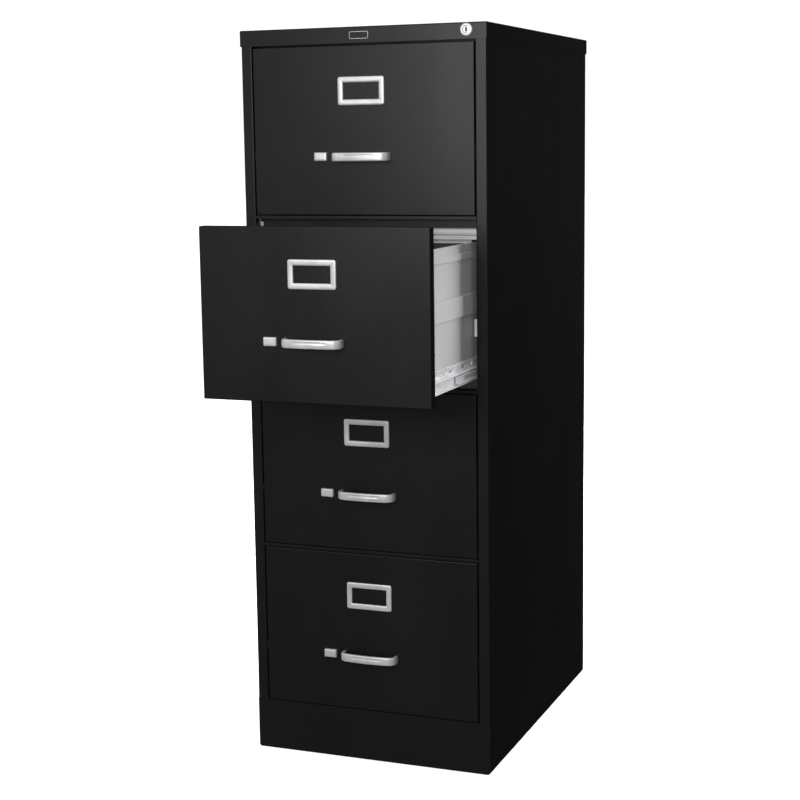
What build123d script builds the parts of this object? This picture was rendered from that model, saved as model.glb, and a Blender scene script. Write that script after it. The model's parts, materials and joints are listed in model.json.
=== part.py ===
from build123d import *
import os

# A four-drawer vertical filing cabinet, in millimetres. X is the width, +Y runs from the front
# to the back and +Z is up. The origin is the centre of the case's footprint, on the floor.
# Every shape is drawn with y = 0 on the case's front plane, then moved back into that frame.

# Case
CASE_WIDTH = 457.2
CASE_DEPTH = 635.0
CASE_HEIGHT = 1320.8
SHEET = 0.9
HEAVY_SHEET = 1.2
TOUCH_GAP = 0.1
HALF = CASE_WIDTH / 2
FRONT_PLANE_Y = -CASE_DEPTH / 2

# Top cap
CAP_BAND = 27.8
CAP_OVERHANG = 2.0
CAP_ROUND = 2.4
CAP_UNDERSIDE = CASE_HEIGHT - SHEET
CASE_TOP = CAP_UNDERSIDE - SHEET

# Side panels, with a stile and a return folded along the front edge
STILE_WIDTH = 20.2
RETURN_DEPTH = 16.0
REAR_FLANGE = 16.0
BEND_OUTER = 2.0
BEND_INNER = 1.0
SIDE_LIFT = 3.0
OPENING_HALF = HALF - STILE_WIDTH

# Base
KICK_TOP = 93.9
KICK_RETURN = 31.0
KICK_FLANGE = 13.0
KICK_CORNER = 5.0
RING_INSET = 14.5
RING_WIDTH = 25.0
BASE_FLOOR_Z = 60.0
FOOT_RADIUS = 11.0
FOOT_THICKNESS = 5.0
FOOT_STUD_RADIUS = 4.0
FOOT_INSET = 60.0

# Drawer fronts: a pressed pan behind each face
DRAWER_COUNT = 4
DRAWER_PITCH = 300.7
TOP_DRAWER_TOP = 1289.6
FRONT_WIDTH = 412.8
FRONT_HEIGHT = 292.5
PAN_DEPTH = 17.0
PAN_ROUND = 1.8
REST_OPEN = {1: 0.0, 2: 221.7, 3: 0.0, 4: 0.0}
FRONT_HALF = FRONT_WIDTH / 2

# Drawer tray
TRAY_HALF = 196.0
TRAY_TOP = -39.0
TRAY_FLOOR = -275.0
TRAY_END = 607.0
HEM_WIDTH = 3.5
HEM_DROP = 9.0
BEADS = ((-64.0, -53.0, 2.0), (-160.0, -124.0, 3.0))
BEAD_START = 24.0
BEAD_END = 590.0
BEAD_ROUND = 0.9

# Ball-bearing slides: a drawer member, a middle member and a case member on each side
SLIDE_Z = -263.5
SLIDE_PLATE_TOP = -237.0
SLIDE_OUTER = TRAY_HALF + 13.4
DRAWER_MEMBER_HALF = 10.5
MID_MEMBER_HALF = 6.6
CASE_TONGUE_HALF = 3.0
CASE_MEMBER_HALF = 12.0
CASE_MEMBER_Y = (22.0, 602.0)
MID_MEMBER_Y = (24.0, 584.0)
DRAWER_MEMBER_Y = (20.0, 600.0)

# Posts that carry the case members
POST_DEPTH = 34.0
POST_FRONTS = (28.0, 560.0)
POST_TOP = 1290.0

# Rails between the drawer fronts, and the grey channels behind them
RAIL_GAP = 1.1
RAIL_DEPTH = 20.0
RAIL_SKIRT = 14.0
CHANNEL_TOP = -14.8
CHANNEL_FOOT = -34.0
CHANNEL_Y = 21.0
CHANNEL_DEPTH = 25.0
CHANNEL_LIP = 1.5
END_TAB_WIDTH = 5.7
END_TAB_TOP = -4.0
HEADER_Y = 26.0
HEADER_FOOT = 1262.0

# Label holder
LABEL_WIDTH = 86.8
LABEL_HEIGHT = 48.9
LABEL_Z = -77.9
LABEL_THICKNESS = 2.8
LABEL_CORNER = 4.0
WINDOW_WIDTH = 66.8
WINDOW_HEIGHT = 30.3
CARD_POCKET = 1.0
CARD_MARGIN = 4.0

# Bow handle
HANDLE_Z = -191.0
HANDLE_WIDTH = 107.0
HANDLE_HEIGHT = 15.0
HANDLE_REACH = 23.0
HANDLE_BAR = 5.0
HANDLE_LEG = 7.0
HANDLE_CORNER = 11.0
HANDLE_ROUND = 1.6
HANDLE_GROOVE = 3.0
GROOVE_DEPTH = 0.6
SCREW_RADIUS = 2.0
SCREW_CLEARANCE = 0.05
SCREW_REACH = 9.0
SCREW_HEAD_RADIUS = 3.8
SCREW_HEAD = 2.4

# Thumb latch and the bolt that it pushes
LATCH_Z = -190.3
THUMB_X = (-89.2, -65.7)
THUMB_HEIGHT = 14.8
THUMB_PROUD = 6.0
THUMB_ROUND = 1.5
STEM_X = (-80.5, -74.5)
STEM_HEIGHT = 6.0
LATCH_PULL = 6.0
LATCH_THROW = 4.0
BOLT_Y = (4.0, 5.5)
BOLT_HEIGHT = 12.0
BOLT_TIP = -207.2
BOLT_END = -70.0
SLOT_CLEARANCE = 0.8
GUIDE_X = (-182.0, -104.0)
GUIDE_LENGTH = 10.0

# Follower block and its track
TRACK_HALF = 10.0
TRACK_HEIGHT = 5.0
TRACK_Y = (40.0, 595.0)
FOLLOWER_Y = 480.0
FOLLOWER_HALF = 150.0
FOLLOWER_TOP = -75.0
FOLLOWER_SHOE_HALF = 16.0
FOLLOWER_SHOE_HEIGHT = 13.0
FOLLOWER_SHOE_LENGTH = 44.0
FOLLOWER_SLACK = 0.5

# Lock
LOCK_X = 193.8
LOCK_Z = 1308.4
BEZEL_RADIUS = 11.0
BEZEL_PROUD = 2.2
BARREL_RADIUS = 9.0
BARREL_END = 13.5
PLUG_RADIUS = 6.5
PLUG_CLEARANCE = 0.05
PLUG_END = 14.0
KEYHOLE_WIDTH = 2.2
KEYHOLE_HEIGHT = 7.0
KEYHOLE_DEPTH = 3.0
CAM_THROW = 9.0
CAM_THICKNESS = 2.0
CAM_PIN_RADIUS = 2.0
CAM_PIN_END = 22.0
CAM_SLACK = 1.9
BAR_X = (212.0, 222.0)
BAR_Y = (18.0, 20.0)
BAR_FOOT = 176.0
BAR_HEAD_FOOT = 1299.0
BAR_HEAD_TOP = 1314.0
BAR_HEAD_X = 180.0
LUG_X = 198.0
LUG_Z = (-201.0, -171.0)
HOOK_Z = (-209.0, -203.0)
HOOK_Y = (26.0, 28.0)
HOOK_REACH = 8.0
BAR_GUIDE_ZS = (300.0, 740.0, 1180.0)

# Blank nameplate
NAMEPLATE_X = -2.0
NAMEPLATE_Z = 1306.0
NAMEPLATE_WIDTH = 35.0
NAMEPLATE_HEIGHT = 12.5
NAMEPLATE_THICKNESS = 1.0


def block(x, y, z):
    """A box between three (low, high) pairs."""
    spans = (x, y, z)
    return Pos(*[(low + high) / 2 for low, high in spans]) * Box(*[high - low for low, high in spans])


def rod(x, y, z, radius):
    """A cylinder along Y, centred on (x, z)."""
    low, high = y
    return Pos(x, (low + high) / 2, z) * Rot(90, 0, 0) * Cylinder(radius, high - low)


def about(middle, width):
    """The (low, high) pair of a width centred on a middle."""
    return (middle - width / 2, middle + width / 2)


def both_sides(*shapes):
    """The shapes on the right side, and their mirror images on the left."""
    return [*shapes, *[mirror(shape, about=Plane.YZ) for shape in shapes]]


def upright_edges_at(shape, x, y):
    """The vertical edges of a shape that stand at (x, y)."""
    return [
        edge
        for edge in shape.edges().filter_by(Axis.Z)
        if abs(edge.center().X - x) < 0.01 and abs(edge.center().Y - y) < 0.01
    ]


def drawer_top(number):
    """The height of a drawer front's top edge, counting drawers from the top."""
    return TOP_DRAWER_TOP - (number - 1) * DRAWER_PITCH


def write_node(name, solids, y=0.0, z=0.0):
    """Moves solids from the drawing frame to the cabinet's frame and writes them as one node."""
    place = Pos(0, FRONT_PLANE_Y + y, z)
    placed = [solid for shape in solids for solid in (place * shape).solids()]
    export_step(Compound(placed), f"parts/{name}.step")


def side_panel(with_strikes):
    """The right side panel: one sheet with a stile and return at the front and a rear flange."""
    inner = HALF - SHEET
    tall = (SIDE_LIFT, CASE_TOP)
    panel = block((inner, HALF), (0, CASE_DEPTH), tall)
    panel += block((OPENING_HALF, HALF), (0, SHEET), tall)
    panel += block((OPENING_HALF, OPENING_HALF + SHEET), (0, RETURN_DEPTH), tall)
    panel += block((HALF - REAR_FLANGE, HALF), (CASE_DEPTH - SHEET, CASE_DEPTH), tall)
    for x, y in ((HALF, 0), (OPENING_HALF, 0), (HALF, CASE_DEPTH)):
        panel = fillet(upright_edges_at(panel, x, y), BEND_OUTER)
    for x, y in ((inner, SHEET), (OPENING_HALF + SHEET, SHEET), (inner, CASE_DEPTH - SHEET)):
        panel = fillet(upright_edges_at(panel, x, y), BEND_INNER)
    kick_space = block((OPENING_HALF - 1, HALF + 1), (-1, BEND_OUTER), (0, KICK_TOP + TOUCH_GAP))
    return_foot = block((OPENING_HALF - 1, inner - 1), (-1, RETURN_DEPTH + 1), (0, KICK_TOP + TOUCH_GAP))
    panel -= kick_space + return_foot
    if with_strikes:
        for number in range(1, DRAWER_COUNT + 1):
            height = about(drawer_top(number) + LATCH_Z, BOLT_HEIGHT + 2 * SLOT_CLEARANCE)
            depth = (BOLT_Y[0] - SLOT_CLEARANCE, BOLT_Y[1] + SLOT_CLEARANCE)
            panel -= block((OPENING_HALF - 1, OPENING_HALF + SHEET + 1), depth, height)
    return panel


def back_panel():
    """The back sheet between the side panels' flanges, with two pressed upright ribs."""
    width = about(0, CASE_WIDTH - 2 * SHEET - 2 * BEND_INNER)
    sheet = block(width, (CASE_DEPTH - 2 * SHEET, CASE_DEPTH - SHEET), (SIDE_LIFT, CASE_TOP))
    ribs = [
        block(about(x, 30), (CASE_DEPTH - SHEET, CASE_DEPTH + 0.5), (130, 1220)) for x in (-110, 110)
    ]
    ribs = [chamfer(rib.faces().sort_by(Axis.Y)[-1].edges(), SHEET) for rib in ribs]
    return sheet + ribs


def top_cap():
    """The lid: a folded sheet with a band all round and a hole for the lock."""
    half = HALF + CAP_OVERHANG
    band = (CASE_HEIGHT - CAP_BAND, CASE_HEIGHT)
    cap = block((-half, half), (-CAP_OVERHANG, CASE_DEPTH + CAP_OVERHANG), band)
    corners = cap.edges().filter_by(Axis.Z)
    cap = fillet(corners + cap.faces().sort_by(Axis.Z)[-1].edges(), CAP_ROUND)
    inside_x = (-half + SHEET, half - SHEET)
    inside_y = (-CAP_OVERHANG + SHEET, CASE_DEPTH + CAP_OVERHANG - SHEET)
    cap -= block(inside_x, inside_y, (0, CAP_UNDERSIDE))
    return cap - rod(LOCK_X, (-5, 5), LOCK_Z, BARREL_RADIUS + 0.3)


def kick_plate():
    """The plinth's front: a sheet as wide as the case, folded back at the sides, top and bottom."""
    plate = block((-HALF, HALF), (0, HEAVY_SHEET), (0, KICK_TOP))
    feet = [
        edge
        for edge in plate.edges().filter_by(Axis.Y)
        if edge.center().Z < 1
    ]
    plate = fillet(feet, KICK_CORNER)
    inner = HALF - SHEET - TOUCH_GAP
    side = block((inner - HEAVY_SHEET, inner), (HEAVY_SHEET, KICK_RETURN), (KICK_CORNER, KICK_TOP))
    folds = both_sides(side)
    width = (-inner + HEAVY_SHEET, inner - HEAVY_SHEET)
    folds.append(block(width, (HEAVY_SHEET, KICK_RETURN), (KICK_TOP - HEAVY_SHEET, KICK_TOP)))
    foot_width = (-HALF + KICK_CORNER, HALF - KICK_CORNER)
    folds.append(block(foot_width, (HEAVY_SHEET, KICK_FLANGE), (0, HEAVY_SHEET)))
    return plate + folds


def base_pan():
    """The cabinet's inside floor, its four skirts and the ring that they stand on."""
    half = HALF - RING_INSET
    near = RING_INSET
    far = CASE_DEPTH - RING_INSET
    ring = block((-half, half), (near, far), (0, HEAVY_SHEET))
    ring -= block(
        (-half + RING_WIDTH, half - RING_WIDTH), (near + RING_WIDTH, far - RING_WIDTH), (-1, 5)
    )
    floor_half = HALF - SHEET - HEAVY_SHEET - 3 * TOUCH_GAP
    floor_y = (HEAVY_SHEET + TOUCH_GAP, CASE_DEPTH - 2 * SHEET - TOUCH_GAP)
    floor = block((-floor_half, floor_half), floor_y, (BASE_FLOOR_Z, BASE_FLOOR_Z + HEAVY_SHEET))
    skirt = (HEAVY_SHEET, BASE_FLOOR_Z)
    sides = both_sides(block((half - HEAVY_SHEET, half), (near, far), skirt))
    ends = [
        block((-half + HEAVY_SHEET, half - HEAVY_SHEET), (y, y + HEAVY_SHEET), skirt)
        for y in (near, far - HEAVY_SHEET)
    ]
    return [ring, floor, *sides, *ends]


def leveling_feet():
    """Four adjustable glides: a pad on a stud under the base floor."""
    feet = []
    for x in (HALF - FOOT_INSET, -HALF + FOOT_INSET):
        for y in (FOOT_INSET, CASE_DEPTH - FOOT_INSET):
            pad = Pos(x, y, FOOT_THICKNESS / 2) * Cylinder(FOOT_RADIUS, FOOT_THICKNESS)
            pad = chamfer(pad.edges().sort_by(Axis.Z)[-1], 1)
            length = BASE_FLOOR_Z - FOOT_THICKNESS
            stud = Pos(x, y, FOOT_THICKNESS + length / 2) * Cylinder(FOOT_STUD_RADIUS, length)
            feet.append(pad + stud)
    return feet


def slide_posts():
    """Front and rear channel posts on both sides, and the clips that guide the lock bar."""
    wide = (SLIDE_OUTER + HEAVY_SHEET, HALF - SHEET - TOUCH_GAP)
    tall = (KICK_TOP, POST_TOP)
    plates = []
    for front in POST_FRONTS:
        rear = front + POST_DEPTH
        plates.append(block((SLIDE_OUTER, SLIDE_OUTER + HEAVY_SHEET), (front, rear), tall))
        plates.append(block(wide, (front, front + HEAVY_SHEET), tall))
        plates.append(block(wide, (rear - HEAVY_SHEET, rear), tall))
    return both_sides(*plates) + [bar_guide(z) for z in BAR_GUIDE_ZS]


def bar_guide(z):
    """A clip on the front right post that the lock bar slides through."""
    outer = (BAR_X[0] - 2.2, BAR_X[1] + 2.2)
    depth = (RETURN_DEPTH + 0.2, POST_FRONTS[0])
    clip = block(outer, depth, about(z, 12))
    return clip - block((BAR_X[0] - 0.7, BAR_X[1] + 0.7), (depth[0] + 1, depth[1] + 1), about(z, 20))


def front_rail(top):
    """A rail above one drawer front: a flush nose, and a skirt set back behind the front."""
    width = (-OPENING_HALF + TOUCH_GAP, OPENING_HALF - TOUCH_GAP)
    nose_top = top + DRAWER_PITCH - FRONT_HEIGHT - RAIL_GAP
    nose_foot = top + RAIL_GAP
    skirt_foot = nose_foot - RAIL_SKIRT
    rail = block(width, (0, RAIL_DEPTH + SHEET), (nose_top - SHEET, nose_top))
    rail += block(width, (0, SHEET), (nose_foot, nose_top))
    rail += block(width, (0, RAIL_DEPTH + SHEET), (nose_foot, nose_foot + SHEET))
    rail += block(width, (RAIL_DEPTH, RAIL_DEPTH + SHEET), (skirt_foot, nose_foot + SHEET))
    nose = [edge for edge in rail.edges().filter_by(Axis.X) if edge.center().Y < 0.01]
    return fillet(nose, 0.8)


def header_rail():
    """The rail behind the cap's band, above the top drawer."""
    width = (-OPENING_HALF + TOUCH_GAP, OPENING_HALF - TOUCH_GAP)
    return block(width, (HEADER_Y, HEADER_Y + SHEET), (HEADER_FOOT, CASE_TOP))


def rail_channel(top):
    """The grey channel above one drawer's tray, with a front lip and a tab at each end."""
    width = (-OPENING_HALF + TOUCH_GAP, OPENING_HALF - TOUCH_GAP)
    head = top + CHANNEL_TOP
    foot = top + CHANNEL_FOOT
    near = CHANNEL_Y
    far = CHANNEL_Y + CHANNEL_DEPTH
    face_far = near + SHEET
    channel = block(width, (near, face_far), (foot, head))
    channel += block(width, (near - CHANNEL_LIP, far), (foot, foot + SHEET))
    clear_of_header = HEADER_Y if top == TOP_DRAWER_TOP else far
    channel += block(width, (near, clear_of_header), (head - SHEET, head))
    tab = (OPENING_HALF - TOUCH_GAP - END_TAB_WIDTH, OPENING_HALF - TOUCH_GAP)
    tab_y = (near - CHANNEL_LIP - SHEET, near - CHANNEL_LIP)
    tabs = both_sides(block(tab, tab_y, (foot, top + END_TAB_TOP)))
    return [channel, *tabs]


def c_section(back, wall, lips_end, half, lip):
    """The outline's three plates of a C: a web, and two lips that point along X from it."""
    return [
        ((back, back + wall), (-half, half)),
        ((back + wall, lips_end), (half - lip, half)),
        ((back + wall, lips_end), (-half, -half + lip)),
    ]


def extrude_section(section, y, z):
    """Fuses a section's plates into one bar along Y, with the section centred on z."""
    bars = [block(x, y, (z + low, z + high)) for x, (low, high) in section]
    return bars[0] + bars[1:]


def drawer_members():
    """The slide members fixed to a tray: a riveting plate with a C-section along its foot."""
    plate_x = (TRAY_HALF, TRAY_HALF + HEAVY_SHEET)
    lips = c_section(TRAY_HALF, HEAVY_SHEET, TRAY_HALF + 9, DRAWER_MEMBER_HALF, HEAVY_SHEET)
    bar = extrude_section(lips, DRAWER_MEMBER_Y, SLIDE_Z)
    plate = block(plate_x, DRAWER_MEMBER_Y, (TRAY_FLOOR, SLIDE_PLATE_TOP))
    return both_sides(bar + plate)


def mid_members():
    """The middle members, which run half as far as the drawer."""
    section = c_section(TRAY_HALF + 3.4, SHEET, TRAY_HALF + 11, MID_MEMBER_HALF, SHEET)
    return both_sides(extrude_section(section, MID_MEMBER_Y, SLIDE_Z))


def case_members():
    """The slide members fixed to the posts: a web with a hollow tongue that points inwards."""
    web_x = SLIDE_OUTER - HEAVY_SHEET
    tongue = c_section(TRAY_HALF + 6.5, SHEET, web_x, CASE_TONGUE_HALF, SHEET)
    bar = extrude_section(tongue, CASE_MEMBER_Y, SLIDE_Z)
    web = block(
        (web_x, SLIDE_OUTER), CASE_MEMBER_Y, about(SLIDE_Z, 2 * CASE_MEMBER_HALF)
    )
    return both_sides(bar + web)


def drawer_front():
    """The black pressed pan: a face with four flanges, a latch slot and two handle holes."""
    half = FRONT_HALF
    tall = (-FRONT_HEIGHT, 0)
    pan = block((-half, half), (0, PAN_DEPTH), tall)
    pan = fillet(pan.edges().filter_by(Axis.Y) + pan.faces().sort_by(Axis.Y)[0].edges(), PAN_ROUND)
    inner_tall = (-FRONT_HEIGHT + SHEET, -SHEET)
    pan -= block((-half + SHEET, half - SHEET), (SHEET, PAN_DEPTH + 1), inner_tall)
    stem_slot = (STEM_X[0] - LATCH_THROW - SLOT_CLEARANCE, STEM_X[1] + LATCH_PULL + SLOT_CLEARANCE)
    pan -= block(stem_slot, (-1, SHEET + 1), about(LATCH_Z, STEM_HEIGHT + 1))
    bolt_slot = (BOLT_Y[0] - SLOT_CLEARANCE, BOLT_Y[1] + SLOT_CLEARANCE)
    bolt_tall = about(LATCH_Z, BOLT_HEIGHT + 2 * SLOT_CLEARANCE)
    pan -= block((-half - 1, -half + SHEET + 1), bolt_slot, bolt_tall)
    for x in handle_leg_centres():
        pan -= rod(x, (-1, SHEET + 1), HANDLE_Z, SCREW_RADIUS + SCREW_CLEARANCE)
    return pan


def handle_leg_centres():
    """The two legs' middles."""
    middle = HANDLE_WIDTH / 2 - HANDLE_LEG / 2
    return (-middle, middle)


def front_liner():
    """The grey inner face that closes the pan, and the plates that guide the bolt behind it."""
    half = FRONT_HALF - SHEET - TOUCH_GAP
    tall = (-FRONT_HEIGHT + SHEET + TOUCH_GAP, -SHEET - TOUCH_GAP)
    sheet = block((-half, half), (PAN_DEPTH - SHEET, PAN_DEPTH), tall)
    guides = []
    for x in GUIDE_X:
        for side in (-1, 1):
            z = LATCH_Z + side * (BOLT_HEIGHT / 2 + 1.1)
            guides.append(block(about(x, GUIDE_LENGTH), (2.5, PAN_DEPTH - SHEET), about(z, 1.2)))
    return [sheet, *guides]


def tray_side():
    """A tray's right side: a sheet with beads pressed outwards along its length."""
    inner = TRAY_HALF - SHEET
    side = block((inner, TRAY_HALF), (PAN_DEPTH, TRAY_END), (TRAY_FLOOR, TRAY_TOP))
    for low, high, proud in BEADS:
        bar = block((inner, TRAY_HALF + proud), (BEAD_START, BEAD_END), (low, high))
        outer = bar.faces().sort_by(Axis.X)[-1]
        side += fillet(outer.edges(), BEAD_ROUND)
        run = (BEAD_START + SHEET, BEAD_END - SHEET)
        side -= block((inner - 1, inner + proud), run, (low + SHEET, high - SHEET))
    return side


def drawer_tray():
    """The grey tray: floor, two beaded sides with hemmed tops, a back and the lock hook."""
    run = (PAN_DEPTH, TRAY_END)
    inner = TRAY_HALF - SHEET
    floor = block((-TRAY_HALF, TRAY_HALF), run, (TRAY_FLOOR - SHEET, TRAY_FLOOR))
    hem = block((inner - HEM_WIDTH, TRAY_HALF), run, (TRAY_TOP, TRAY_TOP + SHEET))
    hem_lip = block(
        (inner - HEM_WIDTH, inner - HEM_WIDTH + SHEET), run, (TRAY_TOP - HEM_DROP, TRAY_TOP)
    )
    back = block((-inner, inner), (TRAY_END - SHEET, TRAY_END), (TRAY_FLOOR, TRAY_TOP - HEM_DROP))
    hook = block((TRAY_HALF, TRAY_HALF + HOOK_REACH), HOOK_Y, HOOK_Z)
    return [floor, back, hook, *both_sides(tray_side(), hem, hem_lip)]


def label_holder():
    """A bright frame with a window, and a pocket behind it that the card slides into."""
    deep = (-LABEL_THICKNESS, 0)
    wide = about(0, LABEL_WIDTH)
    frame = block(wide, deep, about(LABEL_Z, LABEL_HEIGHT))
    frame = fillet(frame.edges().filter_by(Axis.Y), LABEL_CORNER)
    frame = fillet(frame.faces().sort_by(Axis.Y)[0].edges(), 1.1)
    window_tall = about(LABEL_Z, WINDOW_HEIGHT)
    frame -= block(about(0, WINDOW_WIDTH), (-5, 1), window_tall)
    pocket_tall = about(LABEL_Z, WINDOW_HEIGHT + 2 * CARD_MARGIN)
    frame -= block(about(0, WINDOW_WIDTH + 2 * CARD_MARGIN), (-CARD_POCKET, 1), pocket_tall)
    return frame


def drawer_handle():
    """The bow pull: a flat bar with rounded corners, and the two screws that hold it."""
    half = HANDLE_WIDTH / 2
    tall = about(HANDLE_Z, HANDLE_HEIGHT)
    bow = block((-half, half), (-HANDLE_REACH, 0), tall)
    front_corners = [edge for edge in bow.edges().filter_by(Axis.Z) if edge.center().Y < -1]
    bow = fillet(front_corners, HANDLE_CORNER)
    gap = block((-half + HANDLE_LEG, half - HANDLE_LEG), (-HANDLE_REACH + HANDLE_BAR, 1), about(HANDLE_Z, 20))
    gap_corners = [edge for edge in gap.edges().filter_by(Axis.Z) if edge.center().Y < -1]
    bow -= fillet(gap_corners, HANDLE_CORNER - HANDLE_BAR)
    rims = [edge for edge in bow.edges() if edge.center().Y < -HANDLE_REACH + HANDLE_BAR / 2]
    rims = [edge for edge in rims if abs(abs(edge.center().Z - HANDLE_Z) - HANDLE_HEIGHT / 2) < 0.01]
    bow = fillet(rims, HANDLE_ROUND)
    groove_y = (-HANDLE_REACH - 1, -HANDLE_REACH + GROOVE_DEPTH)
    bow -= block((-half, half), groove_y, about(HANDLE_Z, HANDLE_GROOVE))
    screws = []
    for x in handle_leg_centres():
        bow -= rod(x, (-SCREW_REACH - 1, 1), HANDLE_Z, SCREW_RADIUS + SCREW_CLEARANCE)
        shank = rod(x, (-SCREW_REACH, SHEET), HANDLE_Z, SCREW_RADIUS)
        screws.append(shank + rod(x, (SHEET, SHEET + SCREW_HEAD), HANDLE_Z, SCREW_HEAD_RADIUS))
    return [bow, *screws]


def thumb_latch():
    """The thumb piece beside the handle: a rounded button, a groove across it and its stem."""
    back = -0.4
    tall = about(LATCH_Z, THUMB_HEIGHT)
    button = block(THUMB_X, (-THUMB_PROUD, back), tall)
    button = fillet(button.edges().filter_by(Axis.Y), THUMB_ROUND)
    button = fillet(button.faces().sort_by(Axis.Y)[0].edges(), THUMB_ROUND)
    button -= block(THUMB_X, (-THUMB_PROUD - 1, -THUMB_PROUD + 0.7), about(LATCH_Z, 1.6))
    return button + block(STEM_X, (back, BOLT_Y[0]), about(LATCH_Z, STEM_HEIGHT))


def latch_bolt():
    """The flat bolt behind the face, with a bevelled tip that reaches the left stile."""
    bolt = block((BOLT_TIP, BOLT_END), BOLT_Y, about(LATCH_Z, BOLT_HEIGHT))
    tip = [
        edge
        for edge in bolt.edges().filter_by(Axis.Z)
        if edge.center().X < BOLT_TIP + 1 and edge.center().Y > BOLT_Y[0] + 1
    ]
    return chamfer(tip, 1.2)


def follower():
    """The follower block that holds the files up: a ribbed plate on a shoe."""
    y = FOLLOWER_Y
    shoe_top = TRAY_FLOOR + FOLLOWER_SHOE_HEIGHT
    plate = block((-FOLLOWER_HALF, FOLLOWER_HALF), (y, y + 1.5), (shoe_top - 2, FOLLOWER_TOP))
    plate = fillet(
        [edge for edge in plate.edges().filter_by(Axis.Y) if edge.center().Z > shoe_top], 12
    )
    shoe_z = (TRAY_FLOOR + FOLLOWER_SLACK, shoe_top)
    shoe = block(about(0, 2 * FOLLOWER_SHOE_HALF), (y + 1.5, y + FOLLOWER_SHOE_LENGTH), shoe_z)
    brace = block((-4, 4), (y + 1.5, y + 30), (shoe_top, FOLLOWER_TOP - 60))
    brace = chamfer(brace.edges().filter_by(Axis.X).sort_by(Axis.Z)[-1], 27)
    track_space = block(
        about(0, 2 * TRACK_HALF + 2 * FOLLOWER_SLACK),
        (y - 1, y + FOLLOWER_SHOE_LENGTH + 1),
        (TRAY_FLOOR - 1, TRAY_FLOOR + TRACK_HEIGHT + FOLLOWER_SLACK),
    )
    return [plate, shoe - track_space, brace]


def follower_track():
    """The rail along the middle of the tray's floor."""
    tall = (TRAY_FLOOR, TRAY_FLOOR + TRACK_HEIGHT)
    return block((-TRACK_HALF, TRACK_HALF), TRACK_Y, tall)


def lock_housing():
    """The lock's bezel and the barrel behind it, bored for the plug."""
    face = -CAP_OVERHANG
    bezel = rod(LOCK_X, (face - BEZEL_PROUD, face), LOCK_Z, BEZEL_RADIUS)
    bezel = fillet(bezel.edges().sort_by(Axis.Y)[0], 1.2)
    barrel = rod(LOCK_X, (face, BARREL_END), LOCK_Z, BARREL_RADIUS)
    return bezel + barrel - rod(LOCK_X, (-20, 40), LOCK_Z, PLUG_RADIUS + PLUG_CLEARANCE)


def lock_plug():
    """The plug that the key turns, with an upright keyhole."""
    face = -CAP_OVERHANG - BEZEL_PROUD + 0.2
    plug = rod(LOCK_X, (face, PLUG_END), LOCK_Z, PLUG_RADIUS)
    keyhole = block(
        about(LOCK_X, KEYHOLE_WIDTH), (face - 1, face + KEYHOLE_DEPTH), about(LOCK_Z, KEYHOLE_HEIGHT)
    )
    keyhole = keyhole + rod(LOCK_X, (face - 1, face + KEYHOLE_DEPTH), LOCK_Z + 1.8, 1.7)
    return plug - keyhole


def lock_cam():
    """The cam on the plug's inner end, with the pin that carries the lock bar."""
    back = PLUG_END + CAM_THICKNESS
    arm = block((LOCK_X - CAM_THROW - 3, LOCK_X), (PLUG_END, back), about(LOCK_Z, 7))
    hub = rod(LOCK_X, (PLUG_END, back), LOCK_Z, PLUG_RADIUS - 0.5)
    pin = rod(LOCK_X - CAM_THROW, (back, CAM_PIN_END), LOCK_Z, CAM_PIN_RADIUS)
    return arm + hub + pin


def lock_bar():
    """The upright bar behind the right stile: a slotted head, and a lug beside each drawer."""
    strip = block(BAR_X, BAR_Y, (BAR_FOOT, BAR_HEAD_FOOT))
    head = block((BAR_HEAD_X, BAR_X[1]), BAR_Y, (BAR_HEAD_FOOT, BAR_HEAD_TOP))
    reach = CAM_PIN_RADIUS + 0.4
    slot_x = (LOCK_X - CAM_THROW - reach, LOCK_X + reach)
    head -= block(slot_x, (BAR_Y[0] - 1, BAR_Y[1] + 1), (LOCK_Z - reach - CAM_SLACK, LOCK_Z + reach))
    lugs = []
    for number in range(1, DRAWER_COUNT + 1):
        low, high = LUG_Z
        top = drawer_top(number)
        lugs.append(block((LUG_X, BAR_X[0]), BAR_Y, (top + low, top + high)))
    return [strip, head, *lugs]


def nameplate():
    """A small blank plate in the middle of the cap's band."""
    face = -CAP_OVERHANG
    plate = block(
        about(NAMEPLATE_X, NAMEPLATE_WIDTH),
        (face - NAMEPLATE_THICKNESS, face),
        about(NAMEPLATE_Z, NAMEPLATE_HEIGHT),
    )
    plate = fillet(plate.edges().filter_by(Axis.Y), 2.5)
    return chamfer(plate.faces().sort_by(Axis.Y)[0].edges(), 0.4)


def write_case():
    """Writes every node of the case and its lock."""
    numbers = range(1, DRAWER_COUNT + 1)
    write_node("left_side_panel", [mirror(side_panel(with_strikes=True), about=Plane.YZ)])
    write_node("right_side_panel", [side_panel(with_strikes=False)])
    write_node("back_panel", [back_panel()])
    write_node("top_cap", [top_cap()])
    write_node("kick_plate", [kick_plate()])
    write_node("base_pan", base_pan())
    write_node("leveling_feet", leveling_feet())
    write_node("slide_posts", slide_posts())
    write_node("front_rails", [header_rail(), *[front_rail(drawer_top(n)) for n in numbers[1:]]])
    write_node("rail_channels", [part for n in numbers for part in rail_channel(drawer_top(n))])
    write_node("case_slides", [Pos(0, 0, drawer_top(n)) * bar for n in numbers for bar in case_members()])
    write_node("lock_housing", [lock_housing()])
    write_node("lock_plug", [lock_plug()])
    write_node("lock_cam", [lock_cam()])
    write_node("lock_bar", lock_bar())
    write_node("nameplate", [nameplate()])


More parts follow.
